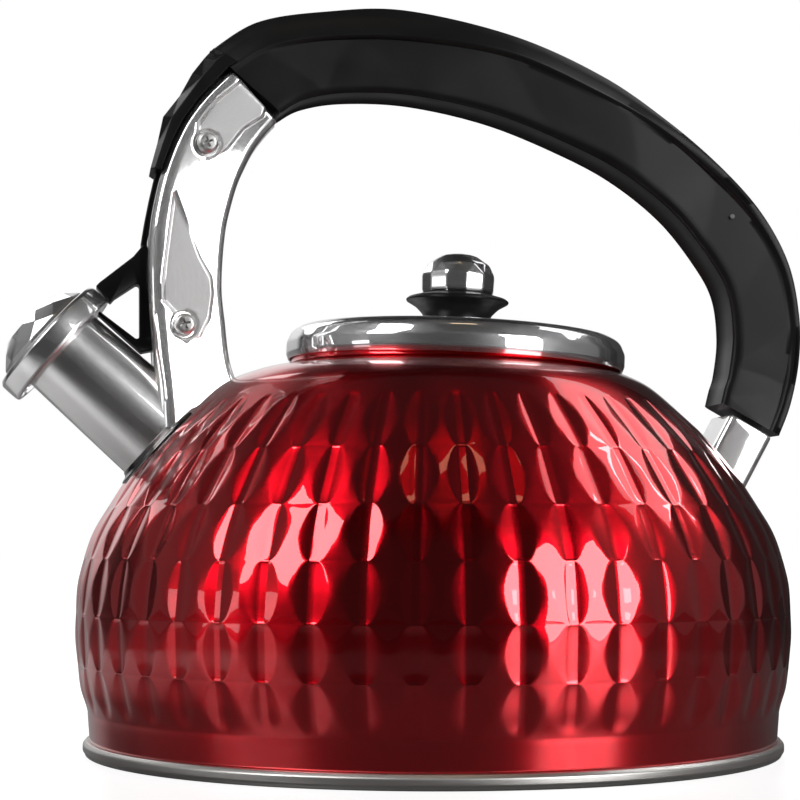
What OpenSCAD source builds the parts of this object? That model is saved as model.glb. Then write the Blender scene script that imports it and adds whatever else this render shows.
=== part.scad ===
/* Stovetop whistling kettle.
   A round quilted body on a wide steel base, a straight spout closed by a
   hinged whistle cap, a lift-off lid and a tall bow handle on two brackets.
   Millimetres, Z up. The origin is the centre of the base on the body axis.
   The spout points to -X and the back of the handle to +X. */

/* [Body] */

// Height of the satin base ring, from the hob to the painted shell
base_ring_height = 4.4; // [3:0.1:8]

// Thickness of the painted body sheet
body_sheet = 1.0; // [0.6:0.1:2]

// Radius of the filling opening inside its upright neck
neck_bore_radius = 50.4; // [44:0.1:51]

// Lean of the filling opening and lid toward the back of the kettle
lid_lean = 2.4; // [0:0.1:6]

/* [Lid] */

// Radius of the chromed lid at its rolled rim
lid_radius = 53.2; // [52.6:0.1:56]

// Depth of the steel skirt that drops into the neck
lid_skirt_depth = 9.0; // [5:0.5:14]

// Width across the faceted knob
knob_width = 23.0; // [18:0.5:28]

/* [Spout] */

// Lean of the spout away from vertical
spout_lean = 48.5; // [35:0.5:60]

// Length of the spout tube outside the body
spout_length = 44.5; // [41:0.5:50]

// Outside radius of the spout tube at its mouth
spout_mouth_radius = 14.1; // [12:0.1:15]

// Outside radius of the spout tube where it meets the body
spout_root_radius = 15.3; // [14:0.1:17]

// Radius of the ring of the whistle cap
cap_radius = 20.4; // [19.5:0.1:23]

// Depth of the ring of the whistle cap
cap_depth = 7.3; // [6:0.1:9]

/* [Handle] */

// Overall width of the handle and of both brackets
handle_width = 22.0; // [20:0.5:26]

// Thickness of the bracket sheet
bracket_sheet = 1.2; // [0.8:0.1:2]

// Width of the whistle lever between the bracket plates
lever_width = 7.6; // [5:0.2:8]

/* [Hidden] */

$fn = 96;

eps = 0.01;
half_width = handle_width / 2;

// Body profile from the base ring to the neck, as radius and height.
shell_knots = [
    [105.4, 4.4], [106.1, 13.0], [108.2, 20.5], [109.5, 30.0],
    [110.0, 41.0], [109.0, 53.5], [105.3, 66.0], [98.2, 78.5],
    [88.0, 92.6], [78.4, 102.5], [69.5, 110.6], [63.5, 114.2],
    [57.5, 116.5], [50.0, 118.4], [30.0, 121.6], [0.0, 123.0]
];

// Neck and lid sit on this point and lean together.
lid_seat = [7.4, 0, 121.9];
neck_wall = 1.1;

// The spout axis leaves the body here.
spout_root = [-84.4, 0, 95.9];
cap_start = spout_length - 4.5;
collar_radius = spout_root_radius + 2.2;
collar_rise = 1.1;

// The lever and the cap turn about the lower bracket post.
pivot = [-78.0, 130.3];
upper_post = [-71.4, 186.4];
post_radius = 3.0;
post_bore = 2.05;
post_half = 8.4;
lever_bore = post_radius + 0.05;
cup_radius = 4.4;
cup_floor = 9.4;

// The bracket legs spread below the lever to stand astride the spout.
leg_spread = 5.8;
leg_spread_top = 124;
leg_spread_end = 106;
function spread_at(z) =
    let (k = max(0, min(1, (leg_spread_top - z) / (leg_spread_top - leg_spread_end))))
    leg_spread * k * k * (3 - 2 * k);

// Rear and front edge of one front bracket plate, pair by pair, from the top.
plate_pairs = [
    [[-53.2, 198.5], [-62.6, 208.9]], [[-50.9, 194.9], [-65.2, 209.6]],
    [[-54.0, 191.0], [-71.8, 202.8]], [[-57.6, 186.0], [-77.8, 195.0]],
    [[-60.2, 181.0], [-82.0, 186.8]], [[-62.8, 175.0], [-85.3, 177.6]],
    [[-64.6, 169.0], [-87.4, 169.0]], [[-66.4, 161.0], [-88.8, 160.0]],
    [[-67.4, 151.0], [-89.2, 149.0]], [[-67.6, 141.0], [-88.8, 136.0]],
    [[-66.6, 131.5], [-88.0, 126.5]], [[-65.9, 124.0], [-87.6, 121.0]],
    [[-65.0, 118.5], [-87.0, 115.5]], [[-63.6, 114.0], [-86.4, 110.0]],
    [[-62.2, 109.5], [-86.0, 104.5]], [[-62.0, 104.0], [-85.6, 98.5]],
    [[-66.0, 98.0], [-85.0, 91.0]]
];
plate_outline = concat(
    [for (q = plate_pairs) q[0]],
    [for (i = [len(plate_pairs) - 1:-1:0]) plate_pairs[i][1]]
);

// Handle stations: inner edge, shoulder line, outer edge, half width of crown.
stations = [
    [[-48.9, 196.6], [-64.4, 209.6], [-70.8, 215.6], 6.5],
    [[-41.3, 201.0], [-52.0, 217.2], [-56.0, 225.6], 5.5],
    [[-27.6, 203.6], [-33.0, 221.2], [-34.5, 230.0], 5.0],
    [[-6.2, 203.3], [-8.0, 221.9], [-9.0, 231.5], 4.5],
    [[19.8, 198.1], [23.4, 217.8], [25.6, 224.6], 5.0],
    [[44.6, 188.7], [51.6, 206.4], [54.4, 212.4], 6.0],
    [[61.4, 180.0], [72.6, 195.0], [75.5, 197.9], 8.0],
    [[76.7, 168.1], [90.6, 180.6], [93.0, 182.9], 9.0],
    [[87.8, 154.6], [103.6, 167.0], [105.9, 168.6], 9.0],
    [[94.0, 143.4], [112.2, 151.8], [114.4, 152.7], 9.0],
    [[95.7, 130.0], [115.4, 134.9], [117.7, 135.4], 9.0],
    [[94.4, 118.2], [115.0, 121.2], [117.3, 121.5], 9.0],
    [[92.8, 112.8], [112.2, 108.6], [114.4, 107.9], 9.0],
    [[90.9, 108.4], [107.9, 98.6], [109.9, 97.4], 9.0]
];

// Smooth curve through a list of knots, four points to a span.
function knot(p, i) = p[max(0, min(len(p) - 1, i))];
function curve_at(p, i, t) =
    0.5 * (2 * knot(p, i)
    + (knot(p, i + 1) - knot(p, i - 1)) * t
    + (2 * knot(p, i - 1) - 5 * knot(p, i) + 4 * knot(p, i + 1) - knot(p, i + 2)) * t * t
    + (3 * knot(p, i) - knot(p, i - 1) - 3 * knot(p, i + 1) + knot(p, i + 2)) * t * t * t);
function smooth(p, first, last) = [
    for (i = [first:last - 1], t = [0:0.25:0.75]) curve_at(p, i, t),
    p[last]
];

// Outline moved inward by d, for a loop that runs clockwise.
function unit(v) = v / norm(v);
function wrap(p, i) = p[(i + len(p)) % len(p)];
function edge_normal(a, b) = unit([b[1] - a[1], a[0] - b[0]]);
function inset_point(p, i, d) =
    let (
        n1 = edge_normal(wrap(p, i - 1), wrap(p, i)),
        n2 = edge_normal(wrap(p, i), wrap(p, i + 1)),
        m = unit(n1 + n2)
    )
    wrap(p, i) + m * d / max(0.5, m * n1);
function inset(p, d) = [for (i = [0:len(p) - 1]) inset_point(p, i, d)];

shell_outer = smooth(shell_knots, 1, len(shell_knots) - 1);
shell_inner = [
    for (i = [0:len(shell_outer) - 1])
        let (
            a = shell_outer[max(0, i - 1)],
            b = shell_outer[min(len(shell_outer) - 1, i + 1)],
            n = unit([a[1] - b[1], b[0] - a[0]])
        )
        i == len(shell_outer) - 1
            ? [0, shell_outer[i][1] - body_sheet]
            : shell_outer[i] + n * body_sheet
];

// Solid space filled by the body, used to trim whatever stands on it.
module body_envelope(grow = 0) {
    rotate_extrude()
        polygon(concat(
            [[0, 0], [shell_knots[0][0] + grow, 0], shell_knots[0] + [grow, 0]],
            [for (p = shell_outer) [p[0] == 0 ? 0 : p[0] + grow * 0.7, p[1] + grow * 0.7]]
        ));
}

// Put children on the leaning seat of the lid, or on the spout axis.
module at_lid() {
    translate(lid_seat)
        rotate([0, lid_lean, 0])
            children();
}

module at_spout(t = 0) {
    translate(spout_root)
        rotate([0, -spout_lean, 0])
            translate([0, 0, t])
                children();
}

// Extrude a side outline across the kettle from y0 to y1.
module across(y0, y1) {
    translate([0, y1, 0])
        rotate([90, 0, 0])
            linear_extrude(height = y1 - y0)
                children();
}

// A round bar across the kettle at a point of the side outline.
module bar(p, r, y0, y1) {
    translate([p[0], y0, p[1]])
        rotate([-90, 0, 0])
            cylinder(h = y1 - y0, r = r);
}

// ---------------------------------------------------------------- body

module body_shell() {
    color("#8e0f16")
        difference() {
            union() {
                rotate_extrude()
                    polygon(concat(
                        [shell_knots[0]],
                        shell_outer,
                        [for (i = [len(shell_inner) - 1:-1:0]) shell_inner[i]],
                        [shell_knots[0] - [body_sheet, 0]]
                    ));
                at_lid()
                    translate([0, 0, -8.5])
                        cylinder(h = 9.7, r = neck_bore_radius + neck_wall);
            }
            at_lid()
                translate([0, 0, -30])
                    cylinder(h = 40, r = neck_bore_radius);
            at_spout(-20)
                cylinder(h = 26, r = spout_root_radius - 1.2);
        }
}

module base_pan() {
    color("#b9b9b7")
        rotate_extrude()
            polygon([
                [0, 3.4], [101.6, 3.4], [103.4, 0], [106.9, 0], [107.45, 0.7],
                [106.7, base_ring_height - 0.4], [106.3, base_ring_height],
                [104.3, base_ring_height], [104.3, 6.6], [103.3, 6.6],
                [103.3, base_ring_height], [0, base_ring_height]
            ]);
}

module heat_disc() {
    color("#c9ccd0")
        translate([0, 0, 0.7])
            cylinder(h = 2.7, r = 90.9);
}

module base_cap() {
    color("#a8a9a9")
        rotate_extrude()
            polygon([
                [0, 0], [91.5, 0], [92.0, 0.5], [92.0, 3.4],
                [91.0, 3.4], [91.0, 0.7], [0, 0.7]
            ]);
}

// --------------------------------------------------------------- spout

module spout_tube() {
    color("#c4c6c8")
        difference() {
            at_spout()
                rotate_extrude()
                    polygon([
                        [spout_root_radius - 1.0, -9],
                        [spout_root_radius, -9],
                        [spout_root_radius, 0],
                        [spout_mouth_radius, spout_length - 2.0],
                        [spout_mouth_radius + 0.7, spout_length - 1.0],
                        [spout_mouth_radius + 0.7, spout_length - 0.4],
                        [spout_mouth_radius + 0.2, spout_length],
                        [spout_mouth_radius - 0.6, spout_length],
                        [spout_mouth_radius - 1.0, spout_length - 0.6],
                        [spout_mouth_radius - 1.0, spout_length - 2.0],
                        [spout_root_radius - 1.0, 0]
                    ]);
            body_envelope();
        }
}

module spout_collar() {
    color("#d0d2d4")
        difference() {
            at_spout(-12)
                cylinder(h = 26, r = collar_radius);
            at_spout(-13)
                cylinder(h = 28, r = spout_root_radius + 0.02);
            body_envelope();
            difference() {
                translate([0, 0, -20])
                    cylinder(h = 180, r = 140);
                body_envelope(collar_rise);
            }
        }
}

// ------------------------------------------------------ front bracket

// A sheet tray standing on its side: flat face at the outside, rounded
// edge, and a rim that runs inward to rim_y.
module tray(p, rim_y) {
    steps = [
        [2.6, half_width], [1.3, half_width - 0.35],
        [0.4, half_width - 1.2], [0, half_width - 2.6], [0, rim_y]
    ];
    n = len(p);
    outer = [
        for (s = steps, q = inset(p, s[0]))
            [q[0], -s[1] * (1 + spread_at(q[1]) / half_width), q[1]]
    ];
    inner = [
        for (s = steps, q = inset(p, max(bracket_sheet, s[0] + bracket_sheet * 0.55)))
            let (y = min(s[1], half_width - bracket_sheet))
            [q[0], -y * (1 + spread_at(q[1]) / half_width), q[1]]
    ];
    o = n * len(steps);
    rows = len(steps) - 1;
    polyhedron(
        points = concat(outer, inner),
        faces = concat(
            ladder(n, 0),
            [for (r = [0:rows - 1], i = [0:n - 1])
                each quad(r * n + i, (r + 1) * n + i,
                    (r + 1) * n + (i + 1) % n, r * n + (i + 1) % n)],
            [for (f = ladder(n, o)) [f[2], f[1], f[0]]],
            [for (r = [0:rows - 1], i = [0:n - 1])
                each quad(o + r * n + (i + 1) % n, o + (r + 1) * n + (i + 1) % n,
                    o + (r + 1) * n + i, o + r * n + i)],
            [for (i = [0:n - 1])
                each quad(rows * n + i, o + rows * n + i,
                    o + rows * n + (i + 1) % n, rows * n + (i + 1) % n)]
        )
    );
}

// Triangles for one quad, and for a loop made of two matched chains.
function quad(a, b, c, d) = [[a, b, c], [a, c, d]];
function ladder(n, o) = [
    for (i = [0:n / 2 - 2])
        each quad(o + i, o + i + 1, o + n - 2 - i, o + n - 1 - i)
];

module bracket_half() {
    difference() {
        union() {
            difference() {
                tray(plate_outline, 0.15);
                // Open the front edge for the lever, the top for the handle.
                across(-4.6, 1)
                    polygon([
                        [-95, 80], [-80, 80], [-80, 130], [-83, 160],
                        [-79, 183], [-60, 206], [-70, 216], [-95, 180]
                    ]);
                across(-half_width + bracket_sheet, 1)
                    polygon([[-72, 199], [-54, 189], [-45, 194], [-62, 214]]);
            }
            bar(pivot, cup_radius + 1.0, -half_width + 0.1, -cup_floor + 1.0);
            bar(upper_post, cup_radius + 1.0, -half_width + 0.1, -cup_floor + 1.0);
        }
        bar(pivot, cup_radius, -half_width - 1, -cup_floor);
        bar(upper_post, cup_radius, -half_width - 1, -cup_floor);
        bar(pivot, post_bore, -half_width - 1, 1);
        bar(upper_post, post_bore, -half_width - 1, 1);
        body_envelope();
        at_spout(-20)
            cylinder(h = 60, r = spout_root_radius + 0.1);
        // The foot of the leg clears the flange of the spout.
        intersection() {
            at_spout(-14)
                cylinder(h = 30, r = collar_radius + 0.15);
            body_envelope(collar_rise + 0.3);
        }
    }
}

module bracket_plate_near() {
    color("#d3d5d8")
        bracket_half();
}

module bracket_plate_far() {
    color("#d3d5d8")
        mirror([0, 1, 0])
            bracket_half();
}

// ------------------------------------------------------- rear bracket

rear_foot = [93.6, 87.4];
rear_lean = 29.0;
rear_depth = 15.6;

module rounded_box_2d(w, d, r) {
    square([w - 2 * r, d], center = true);
    square([w, d - 2 * r], center = true);
    for (x = [-1, 1], y = [-1, 1])
        translate([x * (w / 2 - r), y * (d / 2 - r)])
            circle(r = r, $fn = 32);
}

module rear_bracket() {
    color("#d3d5d8")
        difference() {
            translate([rear_foot[0], 0, rear_foot[1]])
                rotate([0, rear_lean, 0]) {
                    translate([0, 0, -12])
                        linear_extrude(height = 27.4)
                            difference() {
                                rounded_box_2d(rear_depth, handle_width, 2.6);
                                rounded_box_2d(
                                    rear_depth - 2 * bracket_sheet,
                                    handle_width - 2 * bracket_sheet, 1.4);
                                translate([rear_depth / 2, 0])
                                    square([6, 7], center = true);
                            }
                    // The web carries on upward as the tongue in the handle.
                    translate([-rear_depth / 2 + 4.0, -6, 5])
                        cube([2.4, 12, 29]);
                    translate([-rear_depth / 2 + 0.6, -6, 7])
                        cube([4, 12, 4]);
                }
            body_envelope();
        }
}

// ------------------------------------------------------------- handle

handle_ring = 8;
function along(a, b, d) = a + unit(b - a) * d;
function station_points(s) =
    let (i = s[0], r = s[1], o = s[2], c = s[3], w = half_width)
    [
        [i[0], -w + 1.6, i[1]],
        [along(i, o, 1.4)[0], -w, along(i, o, 1.4)[1]],
        [r[0], -w, r[1]],
        [o[0], -c, o[1]],
        [o[0], c, o[1]],
        [r[0], w, r[1]],
        [along(i, o, 1.4)[0], w, along(i, o, 1.4)[1]],
        [i[0], w - 1.6, i[1]]
    ];

module handle_loft() {
    last = (len(stations) - 1) * handle_ring;
    polyhedron(
        points = [for (s = stations, p = station_points(s)) p],
        faces = concat(
            [[for (i = [handle_ring - 1:-1:0]) i]],
            [for (s = [0:len(stations) - 2], i = [0:handle_ring - 1])
                let (
                    a = s * handle_ring + i,
                    b = s * handle_ring + (i + 1) % handle_ring
                )
                each [[a, b, b + handle_ring], [a, b + handle_ring, a + handle_ring]]],
            [[for (i = [0:handle_ring - 1]) last + i]]
        )
    );
}

module handle_grip() {
    color("#1d1d1e")
        difference() {
            union() {
                handle_loft();
                // Front band that hides the front edge of the bracket.
                across(-half_width + 0.6, half_width - 0.6)
                    polygon([
                        [-88.8, 178.2], [-85.0, 194.6], [-79.9, 201.7],
                        [-72.4, 213.8], [-70.6, 215.4], [-62.0, 212.6],
                        [-64.6, 210.6], [-72.0, 203.2], [-78.0, 195.2],
                        [-82.2, 187.0], [-85.5, 177.8]
                    ]);
                // Tongue between the bracket plates, held by the upper screw.
                across(-post_half + 0.15, post_half - 0.15)
                    polygon([
                        [-76.6, 194.6], [-64.6, 209.0], [-52.0, 206.0],
                        [-49.5, 197.6], [-52.6, 195.2], [-58.8, 186.3],
                        [-62.4, 179.6], [-70.0, 178.2], [-79.6, 181.0],
                        [-80.8, 186.6]
                    ]);
            }
            // Room for the lever strip inside the band and the tongue.
            across(-4.4, 4.4)
                polygon([
                    [-95, 170], [-86.9, 177.4], [-84.4, 182.6], [-84.4, 186],
                    [-62, 186], [-58, 176], [-70, 170]
                ]);
            bar(upper_post, post_radius + 0.02, -20, 20);
            // Slot for the tongue of the rear bracket.
            translate([rear_foot[0], 0, rear_foot[1]])
                rotate([0, rear_lean, 0])
                    translate([-rear_depth / 2 + 3.95, -6.05, 10])
                        cube([2.5, 12.1, 24.2]);
            // Flat end that meets the rear bracket.
            translate([rear_foot[0], 0, rear_foot[1]])
                rotate([0, rear_lean, 0])
                    translate([-20, -20, 0])
                        cube([40, 40, 15.4 + eps]);
        }
}

// ---------------------------------------------------------- fasteners

module pan_screw(p) {
    difference() {
        union() {
            bar(p, post_bore - 0.05, -cup_floor - 0.2, 4);
            bar(p, 3.4, -cup_floor - 1.3, -cup_floor);
            translate([p[0], -cup_floor - 1.3, p[1]])
                rotate([90, 0, 0])
                    cylinder(h = 0.7, r1 = 3.4, r2 = 2.4);
        }
        translate([p[0], -cup_floor - 1.2, p[1]])
            for (a = [20, 110])
                rotate([0, a, 0])
                    cube([3.6, 2.4, 0.8], center = true);
    }
}

module bracket_screws() {
    color("#b4b6b8") {
        pan_screw(pivot);
        pan_screw(upper_post);
    }
}

module screw_post(p) {
    difference() {
        union() {
            bar(p, post_radius, -post_half, post_half);
            bar(p, post_bore - 0.05, post_half - eps, cup_floor + 0.2);
            bar(p, 3.4, cup_floor, cup_floor + 1.5);
        }
        bar(p, post_bore, -post_half - 1, 5);
    }
}

module screw_posts() {
    color("#a9abad") {
        screw_post(pivot);
        screw_post(upper_post);
    }
}

// A wound wire: turns of a helix with a straight leg at each end.
spring_turns = 3;
spring_steps = 14;
spring_wire = 0.45;
spring_coil = 4.2;
function coil_point(k) =
    let (a = 360 * k / spring_steps + 150)
    [pivot[0] + spring_coil * cos(a), -7.85 + k / spring_steps * 1.08,
        pivot[1] + spring_coil * sin(a)];
coil_count = spring_turns * spring_steps;
spring_path = concat(
    [coil_point(0) + [5.0, 0, 8.7]],
    [for (k = [0:coil_count]) coil_point(k)],
    [coil_point(coil_count) + [-3.8, 0, -6.6]]
);
function path_dir(p, i) =
    unit(p[min(len(p) - 1, i + 1)] - p[max(0, i - 1)]);

module torsion_spring() {
    color("#9a9c9e") {
        sides = 6;
        n = len(spring_path);
        points = [
            for (i = [0:n - 1])
                let (
                    d = path_dir(spring_path, i),
                    u = unit(cross(d, [0, 1, 0])),
                    v = cross(d, u)
                )
                for (j = [0:sides - 1])
                    spring_path[i] + spring_wire
                        * (u * cos(j * 360 / sides) + v * sin(j * 360 / sides))
        ];
        polyhedron(
            points = points,
            faces = concat(
                [[for (j = [0:sides - 1]) j]],
                [for (i = [0:n - 2], j = [0:sides - 1])
                    let (a = i * sides + j, b = i * sides + (j + 1) % sides)
                    each [[a, a + sides, b + sides], [a, b + sides, b]]],
                [[for (j = [sides - 1:-1:0]) (n - 1) * sides + j]]
            )
        );
    }
}

// ------------------------------------------------------- lever and cap

module lever() {
    w = lever_width / 2;
    color("#18181a")
        difference() {
            union() {
                // Upper arm, post and lower arm form an open triangle.
                across(-w, w)
                    polygon([
                        [-89.9, 156.2], [-93.6, 151.6], [-103.8, 143.4],
                        [-104.9, 142.2], [-100.5, 137.2], [-99.2, 138.7],
                        [-91.7, 143.8], [-91.5, 125.4], [-104.2, 134.9],
                        [-105.0, 134.0], [-104.4, 132.2], [-91.6, 121.9],
                        [-86.5, 123.0], [-84.0, 126.0], [-84.0, 136.0],
                        [-88.4, 146.0]
                    ]);
                // Thin strip up the open front of the bracket.
                across(-w + 0.6, w - 0.6)
                    polygon([
                        [-90.9, 156.0], [-88.6, 166.8], [-86.3, 177.0],
                        [-85.3, 180.6], [-83.4, 180.9], [-84.6, 176.0],
                        [-86.4, 166.2], [-87.6, 158.0], [-88.0, 146.0]
                    ]);
                // Hub on the pivot post, with its web to the arms.
                bar(pivot, 6.4, -w, w);
                across(-w, w)
                    polygon([
                        [-88.0, 124.4], [-79.0, 124.0], [-75.5, 136.2],
                        [-84.6, 143.0], [-89.0, 143.0]
                    ]);
            }
            bar(pivot, lever_bore, -20, 20);
            // The arm ends follow the ring and its back edge.
            at_spout(cap_start - 0.02)
                cylinder(h = cap_depth + 10, r = cap_radius);
            at_spout(-10)
                cylinder(h = 70, r = spout_root_radius + 0.35);
        }
}

module cap_ring() {
    color("#d0d2d4")
        at_spout(cap_start)
            rotate_extrude()
                polygon([
                    [cap_radius - 1.5, 0], [cap_radius - 0.4, 0],
                    [cap_radius - 0.1, 0.4], [cap_radius, 1.2],
                    [cap_radius, cap_depth - 0.9], [cap_radius - 0.3, cap_depth - 0.3],
                    [cap_radius - 1.0, cap_depth], [cap_radius - 3.6, cap_depth],
                    [cap_radius - 3.6, cap_depth - 1.2], [cap_radius - 1.5, cap_depth - 1.2]
                ]);
}

module cap_dome() {
    color("#c8cacc")
        at_spout(cap_start + cap_depth)
            difference() {
                union() {
                    cylinder(h = 3.0, r1 = 17.4, r2 = 16.0, $fn = 10);
                    translate([0, 0, 3.0])
                        rotate([0, 0, 18])
                            cylinder(h = 4.2, r1 = 16.0, r2 = 9.4, $fn = 10);
                }
                translate([0, 0, -eps])
                    cylinder(h = 2.4, r = 13.6);
                translate([0, 0, 2.3])
                    cylinder(h = 3.5, r1 = 12.6, r2 = 7.6);
                translate([0, 0, 5])
                    cylinder(h = 4, r = 1.6, $fn = 32);
            }
}

module whistle_plate() {
    color("#bfc1c3")
        at_spout(spout_length + 0.3)
            difference() {
                cylinder(h = 1.0, r = cap_radius - 1.55);
                translate([0, 0, -1])
                    cylinder(h = 3, r = 2.0, $fn = 32);
            }
}

module whistle_disc() {
    color("#bfc1c3")
        at_spout(spout_length + 1.3)
            difference() {
                cylinder(h = 1.5, r = 13.2);
                translate([0, 0, -eps])
                    cylinder(h = 0.8, r = 12.2);
                translate([0, 0, -1])
                    cylinder(h = 4, r = 2.0, $fn = 32);
            }
}

// ----------------------------------------------------------------- lid

module lid_shell() {
    r = lid_radius;
    color("#d5d7d9")
        at_lid()
            difference() {
                rotate_extrude()
                    polygon([
                        [0, 8.0], [16, 7.4], [30, 6.2], [38.2, 5.6], [41, 6.2],
                        [r - 9.0, 6.7], [r - 5.0, 6.3], [r - 2.6, 5.0],
                        [r - 1.3, 3.4], [r - 1.2, 0.3], [r - 0.5, 0.1],
                        [r - 0.1, 0.9], [r, 2.2], [r - 0.1, 3.6], [r - 1.4, 5.7],
                        [r - 4.2, 7.3], [r - 7.9, 7.9], [41, 7.4], [38.2, 6.8],
                        [30, 7.4], [16, 8.6], [0, 9.2]
                    ]);
                cylinder(h = 30, r = 2.1, $fn = 32);
            }
}

module lid_plug() {
    color("#c2c4c6")
        at_lid()
            rotate_extrude()
                polygon([
                    [46.0, 1.9], [46.0, 1.2 - lid_skirt_depth],
                    [46.8, 0.4 - lid_skirt_depth], [49.2, 0.4 - lid_skirt_depth],
                    [49.8, 1.2 - lid_skirt_depth], [49.8, 1.22],
                    [51.7, 1.22], [51.7, 1.9], [49.0, 1.9],
                    [48.9, 1.2 - lid_skirt_depth], [46.9, 1.2 - lid_skirt_depth],
                    [46.8, 1.9]
                ]);
}

module knob_collar() {
    color("#161617")
        at_lid()
            difference() {
                rotate_extrude()
                    polygon([
                        [0, 9.2], [9.6, 9.2], [10.2, 11.6], [11.2, 13.6],
                        [13.2, 15.8], [16.2, 18.0], [16.0, 18.7], [11.9, 20.0],
                        [0, 20.0]
                    ]);
                cylinder(h = 30, r = 2.1, $fn = 32);
            }
}

module knob_cap() {
    k = knob_width / 2;
    color("#c6c8ca")
        at_lid()
            difference() {
                union() {
                    translate([0, 0, 20.0])
                        cylinder(h = 5.4, r1 = k * 0.98, r2 = k, $fn = 8);
                    translate([0, 0, 25.4])
                        cylinder(h = 4.6, r1 = k, r2 = k * 0.8, $fn = 8);
                    translate([0, 0, 30.0])
                        cylinder(h = 3.0, r1 = k * 0.8, r2 = k * 0.42, $fn = 8);
                }
                translate([0, 0, 19])
                    cylinder(h = 9, r = 2.05, $fn = 32);
            }
}

module knob_screw() {
    color("#a9abad")
        at_lid()
            difference() {
                union() {
                    translate([0, 0, 7.6])
                        cylinder(h = 19, r = 2.0, $fn = 32);
                    translate([0, 0, 5.4])
                        cylinder(h = 2.3, r1 = 3.2, r2 = 3.8, $fn = 32);
                }
                for (a = [0, 90])
                    translate([0, 0, 5.8])
                        rotate([0, 0, a])
                            cube([4.2, 0.9, 1.6], center = true);
            }
}

// ---------------------------------------------------------------- draw

body_shell();
base_pan();
heat_disc();
base_cap();
spout_tube();
spout_collar();
bracket_plate_near();
bracket_plate_far();
rear_bracket();
handle_grip();
bracket_screws();
screw_posts();
torsion_spring();
lever();
cap_ring();
cap_dome();
whistle_plate();
whistle_disc();
lid_shell();
lid_plug();
knob_collar();
knob_cap();
knob_screw();
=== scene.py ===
"""Looks for the stovetop whistling kettle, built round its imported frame.

Lengths are written in millimetres and scaled to metres by the mesh helpers.
"""

import math

import bmesh
import bpy
import numpy as np
from mathutils import Matrix, Vector


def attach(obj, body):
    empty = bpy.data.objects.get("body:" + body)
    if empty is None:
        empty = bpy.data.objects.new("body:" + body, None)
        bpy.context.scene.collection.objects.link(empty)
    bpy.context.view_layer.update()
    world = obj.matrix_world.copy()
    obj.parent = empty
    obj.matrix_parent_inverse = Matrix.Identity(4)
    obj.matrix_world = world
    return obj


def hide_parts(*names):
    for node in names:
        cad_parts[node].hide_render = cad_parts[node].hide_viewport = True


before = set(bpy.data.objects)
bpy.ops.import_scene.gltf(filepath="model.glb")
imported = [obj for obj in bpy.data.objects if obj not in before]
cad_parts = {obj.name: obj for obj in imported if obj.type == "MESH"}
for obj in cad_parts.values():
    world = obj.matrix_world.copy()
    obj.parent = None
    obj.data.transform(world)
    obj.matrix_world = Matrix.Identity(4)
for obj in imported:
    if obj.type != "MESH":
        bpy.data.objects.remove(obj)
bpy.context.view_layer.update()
scene = bpy.context.scene
MM = 0.001


# ---- geometry tools

rad = math.radians


def add(name, data):
    obj = bpy.data.objects.new(name, data)
    scene.collection.objects.link(obj)
    return obj


def mesh_object(name, verts, faces, smooth=True, sharp=None):
    """A mesh from points in millimetres. An edge sharper than this angle, in degrees, stays crisp."""
    me = bpy.data.meshes.new(name)
    me.from_pydata([tuple(c * MM for c in v) for v in verts], [], faces)
    me.validate()
    obj = add(name, me)
    fix_normals(obj)
    shade(obj, smooth)
    if smooth and sharp is not None:
        mark_sharp(obj, sharp)
    return obj


def shade(obj, smooth=True):
    for p in obj.data.polygons:
        p.use_smooth = smooth


def fix_normals(obj):
    bm = bmesh.new()
    bm.from_mesh(obj.data)
    bmesh.ops.recalc_face_normals(bm, faces=bm.faces)
    bm.to_mesh(obj.data)
    bm.free()


def mark_sharp(obj, degrees):
    bm = bmesh.new()
    bm.from_mesh(obj.data)
    limit = rad(degrees)
    for e in bm.edges:
        if len(e.link_faces) == 2 and e.calc_face_angle(0.0) > limit:
            e.smooth = False
    bm.to_mesh(obj.data)
    bm.free()


def apply_modifiers(obj):
    bpy.context.view_layer.update()
    deps = bpy.context.evaluated_depsgraph_get()
    me = bpy.data.meshes.new_from_object(obj.evaluated_get(deps))
    old = obj.data
    obj.modifiers.clear()
    obj.data = me
    me.name = old.name
    bpy.data.meshes.remove(old)


def bevel(obj, width, segments, angle):
    """Rounds the edges sharper than an angle, in degrees, and leaves flat faces flat."""
    m = obj.modifiers.new("round", "BEVEL")
    m.width = width * MM
    m.segments = segments
    m.limit_method = "ANGLE"
    m.angle_limit = rad(angle)
    apply_modifiers(obj)
    shade(obj)
    w = obj.modifiers.new("weights", "WEIGHTED_NORMAL")
    w.weight = 90
    apply_modifiers(obj)
    return obj


def cut(obj, tool):
    """Takes one solid away from another and removes the tool."""
    m = obj.modifiers.new("cut", "BOOLEAN")
    m.operation = "DIFFERENCE"
    m.solver = "EXACT"
    m.object = tool
    apply_modifiers(obj)
    bpy.data.objects.remove(tool)


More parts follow.
